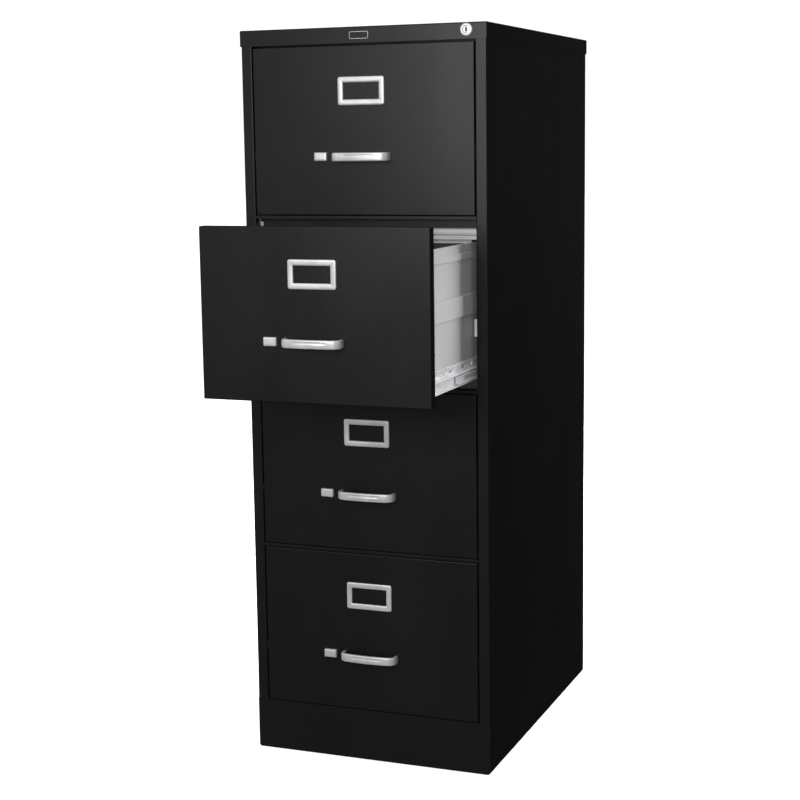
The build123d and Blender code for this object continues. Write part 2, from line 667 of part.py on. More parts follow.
def write_drawers():
    """Writes the eleven nodes of each drawer, at the place where that drawer stands open."""
    drawer_nodes = {
        "front": [drawer_front()],
        "front_liner": front_liner(),
        "tray": drawer_tray(),
        "label_holder": [label_holder()],
        "handle": drawer_handle(),
        "thumb_latch": [thumb_latch()],
        "latch_bolt": [latch_bolt()],
        "slides": drawer_members(),
        "follower": follower(),
        "follower_track": [follower_track()],
    }
    for number, opened in REST_OPEN.items():
        for name, solids in drawer_nodes.items():
            write_node(f"drawer_{number}_{name}", solids, -opened, drawer_top(number))
        write_node(f"drawer_{number}_mid_slides", mid_members(), -opened / 2, drawer_top(number))


os.makedirs("parts", exist_ok=True)
write_case()
write_drawers()
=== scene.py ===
import json
import math

import bmesh
import bpy
from mathutils import Matrix, Vector


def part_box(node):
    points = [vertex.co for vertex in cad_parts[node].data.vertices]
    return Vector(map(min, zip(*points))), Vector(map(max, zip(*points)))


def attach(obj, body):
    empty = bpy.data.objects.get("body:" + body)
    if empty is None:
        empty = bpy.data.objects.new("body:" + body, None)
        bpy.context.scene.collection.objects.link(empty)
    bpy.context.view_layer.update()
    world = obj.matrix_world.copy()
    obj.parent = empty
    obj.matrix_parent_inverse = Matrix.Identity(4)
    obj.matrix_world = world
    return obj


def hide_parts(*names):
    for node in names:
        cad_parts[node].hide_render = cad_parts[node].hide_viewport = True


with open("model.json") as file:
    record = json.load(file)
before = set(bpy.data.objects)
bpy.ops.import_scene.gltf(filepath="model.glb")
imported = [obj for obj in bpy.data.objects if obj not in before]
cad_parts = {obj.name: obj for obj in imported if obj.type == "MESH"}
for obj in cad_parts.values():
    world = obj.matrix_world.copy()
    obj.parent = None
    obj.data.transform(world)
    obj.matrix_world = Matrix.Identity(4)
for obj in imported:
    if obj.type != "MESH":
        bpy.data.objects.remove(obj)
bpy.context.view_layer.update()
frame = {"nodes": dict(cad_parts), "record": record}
record = frame["record"]
nodes = frame["nodes"]

MM = 0.001
DRAWERS = (1, 2, 3, 4)
CASE_FRONT = -0.3175

# Meshes: steps round a bend, the least round corner, and what counts as one point or a smooth edge
BEND_STEPS = 4
LEAST_CORNER = 0.4 * MM
SAME_POINT = 1e-7
SMOOTH_ANGLE = math.radians(32)

# How many sides small round things have, and the finer ones of the lock
SHANK_SIDES = 16
SMALL_SIDES = 20
ROUND_SIDES = 48

# A slot's ends are a hair less than half round, so that no two of its points fall together
SLOT_ROUNDING = 0.499
SLOT_STEPS = 8

# Ways that a flat detail can face: the turn about Z from facing the front
FRONT = 0
RIGHT = 90
BACK = 180

# Colours
BLACK = (0.0028, 0.0028, 0.003, 1)
# Edge colour of the black paint: partly worn paint, partly a painted edge highlight
BLACK_WORN_AND_HIGHLIT = (0.016, 0.016, 0.017, 1)
GREY = (0.29, 0.292, 0.292, 1)
# Edge colour of the grey paint: partly worn paint, partly a painted edge highlight
GREY_WORN_AND_HIGHLIT = (0.43, 0.43, 0.43, 1)
DUST = (0.42, 0.41, 0.39, 1)
CHROME_DIM = (0.41, 0.414, 0.42, 1)
CHROME_CLEAR = (0.50, 0.50, 0.504, 1)
ZINC_DIM = (0.62, 0.63, 0.65, 1)
ZINC_CLEAR = (0.86, 0.86, 0.87, 1)
PLASTIC_DARK = (0.014, 0.014, 0.014, 1)
PLASTIC_PALE = (0.03, 0.03, 0.03, 1)
FLOOR_DIM = (0.95, 0.95, 0.95, 1)
FLOOR_CLEAR = (0.97, 0.97, 0.97, 1)

# Scales of the noises: about how many features there are to a metre
MOTTLE = 5.0
WEAR_AND_HIGHLIGHT = 60.0
DUST_SPECKS = 220.0
SMEARS = 9.0
ORANGE_PEEL = 420.0
SHEET_WAVES = 28.0
CHROME_HAZE = 45.0
CHROME_HAIRS = 900.0
CHROME_WAVES = 60.0
ZINC_CLOUDS = 30.0
ZINC_LINES = 700.0
PLASTIC_GRAIN = 1500.0
PLASTIC_PATCHES = 80.0
FLOOR_PATCHES = 3.0

# How much noise is drawn out along each axis
WIPED_UPRIGHT = (1.0, 1.0, 0.35)
HAIRS_ALONG_X = (0.05, 1.0, 1.0)
LINES_ALONG_Y = (1.0, 0.02, 1.0)

# The part of a noise's range over which each effect sets in
CLOUDS = (0.3, 0.7)
WEAR_AND_HIGHLIGHT_PATCHES = (0.35, 0.7)
SPECKS = (0.3, 0.8)
HAZE = (0.3, 0.75)
SCRATCHES = (0.55, 0.8)
ROLLING_LINES = (0.4, 0.8)

# Enamel: the darkest mottle, how far the lighter edges (partly worn paint, partly a painted edge highlight)
# and dust show, and what smears do to its gloss
MOTTLE_SHADE = 0.85
LEAST_WEAR_AND_HIGHLIGHT = 0.1
EDGE_WIDTH = 0.35
EDGE_SAMPLES = 4
WEAR_AND_HIGHLIGHT_SHARE = 0.55
DUST_SHARE = 0.012
DUST_DULLING = 0.8
UPWARD_FROM = 0.6
SMEAR_POLISHED = 0.04
SMEAR_DULLED = 0.07

# Metals and plastic: the least and most roughness, and what fine lines add to it
CHROME_METAL = 0.65
CHROME_ROUGHNESS = (0.33, 0.42)
HAIR_DULLING = 0.12
ZINC_METAL = 0.55
ZINC_ROUGHNESS = (0.30, 0.44)
LINE_DULLING = 0.15
PLASTIC_ROUGHNESS = (0.5, 0.7)

# Depths of the bumps, and how far in from a sheet's edge its paint is lightened: partly thinned, worn paint,
# partly a painted edge highlight
PEEL_DEPTH = 0.05 * MM
SHEET_WAVE_DEPTH = 0.3 * MM
HAIR_DEPTH = 0.01 * MM
CHROME_WAVE_DEPTH = 0.2 * MM
LINE_DEPTH = 0.02 * MM
GRAIN_DEPTH = 0.05 * MM
WAVE_STRENGTH = 0.3
WORN_AND_HIGHLIT_EDGE = 1.2 * MM

# Bow handle
BOW_WIDTH = 107 * MM
BOW_THICKNESS = 5.4 * MM
BOW_CORNER = 12 * MM
BOW_ARCH = 2.5 * MM
BOW_EDGE = 2.2 * MM
BOW_CROWN = 0.5 * MM
GROOVE_LENGTH = 62 * MM
GROOVE_HEIGHT = 3.4 * MM
GROOVE_RISE = 2.0 * MM
GROOVE_DEPTH = 0.5 * MM
GROOVE_WALL = 1 * MM
GROOVE_RUN_OUT = 6 * MM

# Steps along the bow's legs, corners and bar, and up each side of its section
LEG_STEPS = 4
CORNER_STEPS = 12
BAR_STEPS = 48
SECTION_STEPS = 14

# Handle screws, as radius and height
SCREW_HEAD = ((3.8, 0.0), (3.6, 1.4), (2.4, 2.2), (0.6, 2.4))
SCREW_SHANK = ((2, -9), (2, 1))
SCREW_SET_BACK = 2.4 * MM

# Label holder: how far in from its outline, and how far out from the drawer's face
FRAME_PROFILE = (
    (0, 0),
    (0, 1.3),
    (0.4, 2.1),
    (1.4, 2.7),
    (3.0, 2.8),
    (7.4, 2.8),
    (8.8, 2.5),
    (9.7, 1.6),
    (10, 0.3),
)
FRAME_CORNER = 4 * MM

# Thumb latch: profiles as distance in, and distance out from the drawer's face
BUTTON_BLOCK = ((0, 0.4), (0, 4.4), (0.4, 5.2), (1.2, 5.8), (2.8, 6.0))
BUTTON_CORNER = 1.6 * MM
STEM_PROFILE = ((0, -4), (0, 1))
STEM_SIZE = 6 * MM
STEM_CORNER = 0.6 * MM

# Lock, as radius and distance out from the cap's band
BEZEL_PROFILE = (
    (6.6, -13),
    (6.6, 1.7),
    (7.0, 2.1),
    (7.8, 2.2),
    (9.4, 2.0),
    (10.6, 1.2),
    (11, 0.3),
    (11, 0),
    (9, 0),
    (9, -13),
)
PLUG_RADIUS = 6.3 * MM
PLUG_LENGTH = 14 * MM
PLUG_RISE = 1.6 * MM
PLUG_RIM = 0.35 * MM
KEYHOLE_WIDTH = 2.8 * MM
KEYHOLE_HEIGHT = 7.4 * MM
PLUG_END = ((6.2, -15.9), (6.2, -12))
# A black block set into the keyhole as painted shade: how far below the face it starts, its length and its
# rim
KEYWAY_DEPTH = 1.2 * MM
KEYWAY_LENGTH = 10 * MM
KEYWAY_RIM = PLUG_RIM / 4

# Nameplate
PLATE_RIM_PROFILE = ((0, 0), (0, 0.6), (0.3, 0.9), (0.6, 0.9), (0.9, 0.6), (0.9, 0))
PLATE_CORNER = 2.5 * MM
PLATE_FIELD_INSET = 0.8 * MM
PLATE_FIELD_RISE = 0.45 * MM
PLATE_FIELD_RIM = 0.05 * MM

# Rail channels: the profile as distance in and height above the channel's foot
CHANNEL_WEB = ((25.5, 36), (25.5, 18.7))
CHANNEL_FACE = (
    (4.2, 18.7),
    (2.7, 16.8),
    (1.9, 13.6),
    (2.2, 10.6),
    (3.6, 8.2),
    (6.4, 7.4),
    (6.4, 3.6),
    (1.5, 3.6),
    (1.5, 0.6),
    (11.5, 0.6),
)
CHANNEL_SHORT_TOP = ((6.5, 18.7),)
CHANNEL_HEM = ((4.0, -0.5), (11.5, -0.5), (11.5, -6.5))
CHANNEL_HEM_HALF = 190 * MM
CHANNEL_SHEET = 1.1 * MM
CHANNEL_BEND = 1.0 * MM
CHANNEL_DROP = 34 * MM

# The tab at each end of a channel
TAB_WIDTH = 5.7 * MM
TAB_HEIGHT = 29.5 * MM
TAB_THICKNESS = 1.1 * MM
TAB_PROFILE = ((0, 0), (0, 0.7), (0.4, 1.1))
TAB_CORNER = 1 * MM

# Slides
SLIDE_SHEET = 1.2 * MM
SLIDE_BEND = 1.2 * MM
SLIDE_LIP = 9 * MM
SLIDE_CHANNEL_HALF = 10.5 * MM
SLIDE_CHANNEL_RISE = 11.5 * MM
SLIDE_RIM = 0.15 * MM
SLIDE_CORNER = 3 * MM
RIVET_HEAD = ((3.4, 0), (3.4, 0.3), (2.9, 0.9), (1.8, 1.4), (0.5, 1.6))

# A slide plate's holes and rivets: down from its top, and back from its front end (in millimetres)
HOLE_RADIUS = 2.6 * MM
HOLE_DOWN = 12 * MM
HOLE_SPREAD = 5 * MM
HOLE_BACK = 22 * MM
SLOT_LENGTH = 16 * MM
SLOT_HEIGHT = 5 * MM
SLOT_DOWN = 9 * MM
SLOTS_BACK = (95, 160, 255, 350, 445, 540)
RIVET_DOWN = 9 * MM
RIVETS_BACK = (46, 62, 128, 208, 303, 398, 493, 562)

# Welds on the back
WELD_DIMPLE = ((3.2, -0.2), (3.0, 0.25), (2.2, 0.35), (1.2, 0.15))
WELD_ROWS = 12
WELD_INSET = 7 * MM
WELD_MARGIN = 60 * MM

# Camera
CAMERA_PLACE = Vector((1.1314, -3.0353, 1.1257))
CAMERA_YAW = math.radians(21.43)
CAMERA_PITCH = math.radians(8.81)
CAMERA_ROLL = math.radians(-0.77)
CAMERA_LENS = 75.35
SENSOR = 36.0
CLIP_END = 100

# Softboxes: place, what it faces, width and height in metres, and watts
KEY = ((0.0, -2.15, 1.40), (0.22, CASE_FRONT, 1.2), (0.8, 0.8), 21)
BACK_RIGHT = ((1.75, 3.2, 1.2), (0.2, -0.43, 0.85), (1.7, 1.8), 600)
FILL = ((CAMERA_PLACE.x, CAMERA_PLACE.y, 1.12), (0.1, CASE_FRONT, 0.8), (0.3, 0.12), 36)

# The light from above, and the floor
OVERHEAD_STRENGTH = 3.1
OVERHEAD_ANGLE = math.radians(70)
FLOOR_HALF = 30.0

# The surround: where each fade starts and ends along an axis, and its brightness at both ends
MIRRORED_UP = (-0.16, 0.10, 0.12, 0.75)
MIRRORED_BACK = (-0.35, 0.35, 1.0, 0.02)
SOFT_BACK = (-0.95, 0.2, 1.7, 0.25)
SOFT_RIGHT = (-0.3, 0.5, 1.25, 0.3)
WHITE_SEEN = 1.1

RANGE_SOCKETS = ("From Min", "From Max", "To Min", "To Max")


class Surface:
    """One material's node tree, with short calls for the nodes that these finishes use."""

    def __init__(self, name, **fixed):
        self.material = bpy.data.materials.new(name)
        self.material.use_nodes = True
        self.tree = self.material.node_tree
        self.shader = self.tree.nodes["Principled BSDF"]
        for socket, value in fixed.items():
            self.shader.inputs[socket.replace("_", " ")].default_value = value
        self.place = self.add("ShaderNodeTexCoord").outputs["Object"]

    def add(self, kind, **settings):
        """A new node, with its settings."""
        node = self.tree.nodes.new(kind)
        for name, value in settings.items():
            setattr(node, name, value)
        return node

    def feed(self, socket, value):
        """Links a socket to another node's output, or sets it to a plain value."""
        if isinstance(value, bpy.types.NodeSocket):
            self.tree.links.new(value, socket)
        else:
            socket.default_value = value

    def stretched(self, scale):
        """The object coordinates, scaled apart along each axis."""
        mapping = self.add("ShaderNodeMapping")
        self.feed(mapping.inputs["Vector"], self.place)
        self.feed(mapping.inputs["Scale"], scale)
        return mapping.outputs["Vector"]

    def noise(self, scale, detail=3.0, grain=0.5, place=None):
        """Cloudy noise from 0 to 1."""
        texture = self.add("ShaderNodeTexNoise")
        self.feed(texture.inputs["Vector"], place or self.place)
        self.feed(texture.inputs["Scale"], scale)
        self.feed(texture.inputs["Detail"], detail)
        self.feed(texture.inputs["Roughness"], grain)
        return texture.outputs["Fac"]

    def ramp(self, value, low, high, at_low, at_high):
        """Maps a value's range from low to high onto at_low to at_high, and holds it there."""
        node = self.add("ShaderNodeMapRange")
        for name, number in zip(RANGE_SOCKETS, (low, high, at_low, at_high)):
            self.feed(node.inputs[name], number)
        self.feed(node.inputs["Value"], value)
        return node.outputs["Result"]

    def clouds(self, noise, at_low=0.0, at_high=1.0):
        """Cloudy noise, spread out over a range."""
        return self.ramp(noise, *CLOUDS, at_low, at_high)

    def math(self, operation, first, second):
        """Two values combined."""
        node = self.add("ShaderNodeMath", operation=operation)
        self.feed(node.inputs[0], first)
        self.feed(node.inputs[1], second)
        return node.outputs[0]

    def blend(self, share, first, second):
        """Mixes two colours."""
        node = self.add("ShaderNodeMix", data_type="RGBA")
        self.feed(node.inputs["Factor"], share)
        self.feed(node.inputs["A"], first)
        self.feed(node.inputs["B"], second)
        return node.outputs["Result"]

    def edges(self, radius, width):
        """1 along the mesh's edges, 0 elsewhere."""
        bevel = self.add("ShaderNodeBevel", samples=EDGE_SAMPLES)
        self.feed(bevel.inputs["Radius"], radius)
        flat = self.add("ShaderNodeNewGeometry").outputs["Normal"]
        dot = self.add("ShaderNodeVectorMath", operation="DOT_PRODUCT")
        self.feed(dot.inputs[0], bevel.outputs["Normal"])
        self.feed(dot.inputs[1], flat)
        return self.ramp(dot.outputs["Value"], 1.0 - width, 1.0, 1.0, 0.0)

    def upward(self):
        """1 where the surface faces up, 0 where it is upright or faces down."""
        normal = self.add("ShaderNodeNewGeometry").outputs["Normal"]
        split = self.add("ShaderNodeSeparateXYZ")
        self.feed(split.inputs[0], normal)
        return self.ramp(split.outputs["Z"], UPWARD_FROM, 1.0, 0.0, 1.0)

    def bump(self, height, distance, strength=1.0, under=None):
        """The normal of a height map, laid over another bump if there is one."""
        node = self.add("ShaderNodeBump")
        self.feed(node.inputs["Height"], height)
        self.feed(node.inputs["Distance"], distance)
        self.feed(node.inputs["Strength"], strength)
        if under:
            self.feed(node.inputs["Normal"], under)
        return node.outputs["Normal"]

    def finish(self, **linked):
        """Feeds the shader's sockets, and gives the material."""
        for socket, value in linked.items():
            self.feed(self.shader.inputs[socket.replace("_", " ")], value)
        return self.material


def enamel(name, colour, worn_and_highlit, gloss, specular):
    """Baked enamel on sheet steel: orange peel, uneven gloss, and edges lightened, partly as thinned, worn
    paint and partly as a painted highlight.
    """
    s = Surface(name, Specular_IOR_Level=specular)
    darker = [channel * MOTTLE_SHADE for channel in colour[:3]] + [1]
    shade = s.blend(s.clouds(s.noise(MOTTLE, detail=4.0)), darker, colour)
    patchy = s.ramp(s.noise(WEAR_AND_HIGHLIGHT), *WEAR_AND_HIGHLIGHT_PATCHES, LEAST_WEAR_AND_HIGHLIGHT, 1.0)
    # Lighter edges: partly worn, thinned paint, partly a painted edge highlight
    wear_and_highlight = s.math("MULTIPLY", s.edges(WORN_AND_HIGHLIT_EDGE, EDGE_WIDTH), patchy)
    shade = s.blend(s.math("MULTIPLY", wear_and_highlight, WEAR_AND_HIGHLIGHT_SHARE), shade, worn_and_highlit)
    specks = s.ramp(s.noise(DUST_SPECKS, detail=5.0), *SPECKS, 0.0, DUST_SHARE)
    dust = s.math("MULTIPLY", s.upward(), specks)
    shade = s.blend(dust, shade, DUST)
    smears = s.noise(SMEARS, detail=5.0, grain=0.6, place=s.stretched(WIPED_UPRIGHT))
    rough = s.ramp(smears, *HAZE, gloss - SMEAR_POLISHED, gloss + SMEAR_DULLED)
    rough = s.math("ADD", rough, s.math("MULTIPLY", dust, DUST_DULLING))
    peel = s.bump(s.noise(ORANGE_PEEL, detail=1.0), PEEL_DEPTH)
    waves = s.noise(SHEET_WAVES, detail=1.0)
    peel = s.bump(waves, SHEET_WAVE_DEPTH, strength=WAVE_STRENGTH, under=peel)
    return s.finish(Base_Color=shade, Roughness=rough, Normal=peel)


def chrome():
    """Satin chrome plating, a little hazy, with hairline scratches."""
    s = Surface("bright_chrome", Metallic=CHROME_METAL)
    haze = s.noise(CHROME_HAZE, detail=4.0)
    colour = s.blend(s.clouds(haze), CHROME_DIM, CHROME_CLEAR)
    hairs = s.noise(CHROME_HAIRS, detail=2.0, place=s.stretched(HAIRS_ALONG_X))
    scratched = s.ramp(hairs, *SCRATCHES, 0.0, HAIR_DULLING)
    rough = s.math("ADD", s.ramp(haze, *HAZE, *CHROME_ROUGHNESS), scratched)
    waves = s.noise(CHROME_WAVES, detail=1.0)
    waves = s.bump(waves, CHROME_WAVE_DEPTH, strength=WAVE_STRENGTH)
    return s.finish(Base_Color=colour, Roughness=rough, Normal=s.bump(hairs, HAIR_DEPTH, under=waves))


def zinc():
    """Zinc plate on rolled steel: cloudy patches, and fine lines along the rolling direction."""
    s = Surface("zinc_steel", Metallic=ZINC_METAL)
    spangle = s.noise(ZINC_CLOUDS, detail=5.0, grain=0.6)
    lines = s.noise(ZINC_LINES, detail=3.0, place=s.stretched(LINES_ALONG_Y))
    colour = s.blend(s.clouds(spangle), ZINC_DIM, ZINC_CLEAR)
    rolled = s.ramp(lines, *ROLLING_LINES, 0.0, LINE_DULLING)
    rough = s.math("ADD", s.clouds(spangle, *ZINC_ROUGHNESS), rolled)
    return s.finish(Base_Color=colour, Roughness=rough, Normal=s.bump(lines, LINE_DEPTH))


def foot_plastic():
    """Moulded matte plastic with a fine grain."""
    s = Surface("foot_plastic")
    grain = s.noise(PLASTIC_GRAIN, detail=2.0)
    colour = s.blend(s.clouds(s.noise(PLASTIC_PATCHES)), PLASTIC_DARK, PLASTIC_PALE)
    rough = s.clouds(grain, *PLASTIC_ROUGHNESS)
    return s.finish(Base_Color=colour, Roughness=rough, Normal=s.bump(grain, GRAIN_DEPTH))


FINISHES = {
    "black_paint": enamel("black_paint", BLACK, BLACK_WORN_AND_HIGHLIT, gloss=0.36, specular=0.25),
    "grey_paint": enamel("grey_paint", GREY, GREY_WORN_AND_HIGHLIT, gloss=0.40, specular=0.35),
    "zinc_steel": zinc(),
    "bright_chrome": chrome(),
    "foot_plastic": foot_plastic(),
}


def paint_nodes():
    """Gives every CAD node its slot's material."""
    for part in record["subparts"]:
        mesh = nodes[part["node"]].data
        mesh.materials.clear()
        mesh.materials.append(FINISHES[part["material_slot"]])


def facing(turn, x, y, z):
    """The place of a detail drawn flat in X and Y: X runs to its right, Y up, and Z out of the surface."""
    upright = Matrix.Rotation(math.pi / 2, 4, "X")
    return Matrix.Translation((x, y, z)) @ Matrix.Rotation(math.radians(turn), 4, "Z") @ upright


def rounded_rectangle(width, height, corner, steps=5, along=0):
    """Points round a rectangle with round corners, with more points along its upright sides if asked."""
    points = []
    for quarter, (side, end) in enumerate(((1, 1), (-1, 1), (-1, -1), (1, -1))):
        x = side * (width / 2 - corner)
        y = end * (height / 2 - corner)
        for step in range(steps + 1):
            angle = (quarter + step / steps) * math.pi / 2
            points.append((x + corner * math.cos(angle), y + corner * math.sin(angle)))
        if quarter in (1, 3):
            for step in range(1, along + 1):
                points.append((side * width / 2, y - 2 * y * step / (along + 1)))
    return points


def circle(radius, sides=24, x=0.0, y=0.0):
    """Points round a circle."""
    turns = [2 * math.pi * step / sides for step in range(sides)]
    return [(x + radius * math.cos(turn), y + radius * math.sin(turn)) for turn in turns]


def slot_outline(length, height, x=0.0, y=0.0):
    """Points round a slot with half-round ends."""
    return [(x + u, y + v) for u, v in rounded_rectangle(length, height, height * SLOT_ROUNDING, SLOT_STEPS)]


def loft(loops, ring=False):
    """A closed mesh through loops of equally many points. A ring's last loop joins its first."""
    shape = bmesh.new()
    rows = [[shape.verts.new(point) for point in loop] for loop in loops]
    count = len(rows[0])
    pairs = list(zip(rows, rows[1:]))
    if ring:
        pairs.append((rows[-1], rows[0]))
    else:
        shape.faces.new(rows[0])
        shape.faces.new(rows[-1])
    for near, far in pairs:
        for i in range(count):
            j = (i + 1) % count
            shape.faces.new((near[i], near[j], far[j], far[i]))
    bmesh.ops.recalc_face_normals(shape, faces=shape.faces)
    mesh = bpy.data.meshes.new("loft")
    shape.to_mesh(mesh)
    shape.free()
    return mesh


def raised(profile, width, height, corner, ring=False):
    """A rounded rectangle raised through a profile of (distance in, distance out) in millimetres."""
    loops = []
    for inset, rise in profile:
        inset *= MM
        rounding = max(corner - inset, LEAST_CORNER)
        outline = rounded_rectangle(width - 2 * inset, height - 2 * inset, rounding)
        loops.append([(u, v, rise * MM) for u, v in outline])
    return loft(loops, ring)


def turned(profile, ring=False, sides=32):
    """A round piece about Z, from a profile of (radius, height) in millimetres."""
    loops = []
    for radius, height in profile:
        loops.append([(u, v, height * MM) for u, v in circle(radius * MM, sides)])
    return loft(loops, ring)


def cut_sheet(outlines, thickness, rim):
    """A flat plate that stands on Z = 0: the first outline is its edge and the rest are holes."""
    curve = bpy.data.curves.new("sheet", "CURVE")
    curve.dimensions = "2D"
    curve.fill_mode = "BOTH"
    curve.extrude = thickness / 2 - rim
    curve.bevel_depth = rim
    curve.bevel_resolution = 1
    curve.offset = -rim
    for outline in outlines:
        spline = curve.splines.new("POLY")
        spline.points.add(len(outline) - 1)
        for point, (x, y) in zip(spline.points, outline):
            point.co = (x, y, 0, 1)
        spline.use_cyclic_u = True
    holder = bpy.data.objects.new("sheet", curve)
    mesh = bpy.data.meshes.new_from_object(holder)
    bpy.data.objects.remove(holder)
    bpy.data.curves.remove(curve)
    mesh.transform(Matrix.Translation((0, 0, thickness / 2)))
    return mesh


def fold(path, thickness, bend, span):
    """A folded sheet: a path in X and Z, thickened, with round bends, that runs along Y over a span."""
    line = [Vector(path[0])]
    for before, corner, after in zip(path, path[1:], path[2:]):
        before, corner, after = Vector(before), Vector(corner), Vector(after)
        into = (before - corner).normalized() * bend
        out = (after - corner).normalized() * bend
        for step in range(BEND_STEPS + 1):
            share = step / BEND_STEPS
            line.append(corner + into * (1 - share) ** 2 + out * share**2)
    line.append(Vector(path[-1]))
    sides = ([], [])
    for i, point in enumerate(line):
        along = (line[min(i + 1, len(line) - 1)] - line[max(i - 1, 0)]).normalized()
        across = Vector((-along.y, along.x)) * thickness / 2
        sides[0].append(point + across)
        sides[1].append(point - across)
    outline = sides[0] + sides[1][::-1]
    return loft([[(p.x, y, p.y) for p in outline] for y in span])


def gathered(placed):
    """One mesh from (mesh, place) pairs."""
    shape = bmesh.new()
    for mesh, place in placed:
        copy = mesh.copy()
        copy.transform(place)
        shape.from_mesh(copy)
        bpy.data.meshes.remove(copy)
    bmesh.ops.remove_doubles(shape, verts=shape.verts, dist=SAME_POINT)
    mesh = bpy.data.meshes.new("gathered")
    shape.to_mesh(mesh)
    shape.free()
    return mesh


def add_piece(name, mesh, body, slot, *replaced):
    """Shows a mesh as a piece that rides on a body, in a slot's finish."""
    mesh.name = name
    mesh.materials.clear()
    mesh.materials.append(FINISHES[slot])
    mesh.polygons.foreach_set("use_smooth", [True] * len(mesh.polygons))
    mesh.set_sharp_from_angle(angle=SMOOTH_ANGLE)
    piece = bpy.data.objects.new(name, mesh)
    bpy.context.scene.collection.objects.link(piece)
    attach(piece, body)
    if replaced:
        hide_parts(*replaced)


def smooth(value):
    """0 to 1, with a soft start and end."""
    value = min(max(value, 0.0), 1.0)
    return value * value * (3 - 2 * value)


def bow_path(half, depth, corner):
    """The bow's centre line seen from above, as (x, y, outward x, outward y), from the left foot."""
    left = [(-half, -(depth - corner) * step / LEG_STEPS, -1.0, 0.0) for step in range(LEG_STEPS)]
    for step in range(CORNER_STEPS + 1):
        angle = math.pi * (1 + step / (2 * CORNER_STEPS))
        out = (math.cos(angle), math.sin(angle))
        left.append((-half + corner + corner * out[0], -depth + corner + corner * out[1], *out))
    straight = half - corner
    bar = []
    for step in range(1, BAR_STEPS):
        share = step / (BAR_STEPS / 2) - 1
        lean = 2 * BOW_ARCH * share / straight
        out = Vector((lean, -1)).normalized()
        bar.append((straight * share, -depth - BOW_ARCH * (1 - share * share), out.x, out.y))
    return left + bar + [(-x, y, -u, v) for x, y, u, v in reversed(left)]


def bow_loop(station, height):
    """The bow's section at one station: crowned outside, with a shallow groove along the bar."""
    x, y, out_x, out_y = station
    along_groove = smooth((GROOVE_LENGTH / 2 - abs(x)) / GROOVE_RUN_OUT) * -out_y
    loop = []
    for out, up in rounded_rectangle(BOW_THICKNESS, height, BOW_EDGE, along=SECTION_STEPS):
        if out > 0:
            out += BOW_CROWN * (1 - (2 * up / height) ** 2)
            off = abs(up - GROOVE_RISE)
            across_groove = smooth((GROOVE_HEIGHT / 2 + GROOVE_WALL / 2 - off) / GROOVE_WALL)
            out -= GROOVE_DEPTH * along_groove * across_groove
        loop.append((x + out_x * out, y + out_y * out, up))
    return loop


def add_handle(number):
    """The bow pull, with its two screws inside the drawer's front."""
    name = f"drawer_{number}_handle"
    low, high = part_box(name)
    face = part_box(f"drawer_{number}_front")[0].y
    half = (BOW_WIDTH - BOW_THICKNESS) / 2
    depth = face - low.y - BOW_THICKNESS / 2 - BOW_CROWN - BOW_ARCH
    height = high.z - low.z
    loops = [bow_loop(station, height) for station in bow_path(half, depth, BOW_CORNER)]
    middle = (low + high) / 2
    parts = [(loft(loops), Matrix.Translation((middle.x, face, middle.z)))]
    head = turned(SCREW_HEAD)
    shank = turned(SCREW_SHANK, sides=SHANK_SIDES)
    for side in (-1, 1):
        place = facing(BACK, middle.x + side * half, high.y - SCREW_SET_BACK, middle.z)
        parts += [(head, place), (shank, place)]
    bow = gathered(parts)
    add_piece(f"drawer_{number}_bow", bow, f"drawer_{number}", "bright_chrome", name)


def add_label_frame(number):
    """The label holder's frame, rolled over at its outer and inner edges."""
    name = f"drawer_{number}_label_holder"
    low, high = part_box(name)
    frame_mesh = raised(FRAME_PROFILE, high.x - low.x, high.z - low.z, FRAME_CORNER, ring=True)
    middle = (low + high) / 2
    frame_mesh.transform(facing(FRONT, middle.x, high.y, middle.z))
    add_piece(f"drawer_{number}_card_frame", frame_mesh, f"drawer_{number}", "bright_chrome", name)


def add_thumb_button(number):
    """The thumb latch's button: a crowned block, and the stem that reaches the bolt."""
    name = f"drawer_{number}_thumb_latch"
    low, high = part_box(name)
    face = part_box(f"drawer_{number}_front")[0].y
    block = raised(BUTTON_BLOCK, high.x - low.x, high.z - low.z, BUTTON_CORNER)
    stem = raised(STEM_PROFILE, STEM_SIZE, STEM_SIZE, STEM_CORNER)
    place = facing(FRONT, (low.x + high.x) / 2, face, (low.z + high.z) / 2)
    button = gathered([(block, place), (stem, place)])
    add_piece(f"drawer_{number}_thumb_button", button, f"drawer_{number}_latch", "bright_chrome", name)


def add_lock():
    """The lock's domed bezel, the plug with its keyhole, and a black block in the keyhole as painted shade.
    """
    low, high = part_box("lock_housing")
    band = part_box("top_cap")[0].y
    place = facing(FRONT, (low.x + high.x) / 2, band, (low.z + high.z) / 2)
    bezel = turned(BEZEL_PROFILE, ring=True, sides=ROUND_SIDES)
    bezel.transform(place)
    add_piece("lock_bezel", bezel, "case", "bright_chrome", "lock_housing")
    keyhole = [(v, u) for u, v in slot_outline(KEYHOLE_HEIGHT, KEYHOLE_WIDTH)]
    barrel = cut_sheet([circle(PLUG_RADIUS, ROUND_SIDES), keyhole], PLUG_LENGTH, PLUG_RIM)
    barrel.transform(Matrix.Translation((0, 0, PLUG_RISE - PLUG_LENGTH)))
    end = turned(PLUG_END)
    plug = gathered([(barrel, place), (end, place)])
    add_piece("lock_face", plug, "lock_cylinder", "bright_chrome", "lock_plug")
    # A black block fills the keyhole a little below the face: painted shade for the keyhole's depth
    keyhole_shade_block = cut_sheet([keyhole], KEYWAY_LENGTH, KEYWAY_RIM)
    keyhole_shade_block.transform(place @ Matrix.Translation((0, 0, PLUG_RISE - KEYWAY_DEPTH - KEYWAY_LENGTH)))
    add_piece("lock_keyhole_shade", keyhole_shade_block, "lock_cylinder", "black_paint")


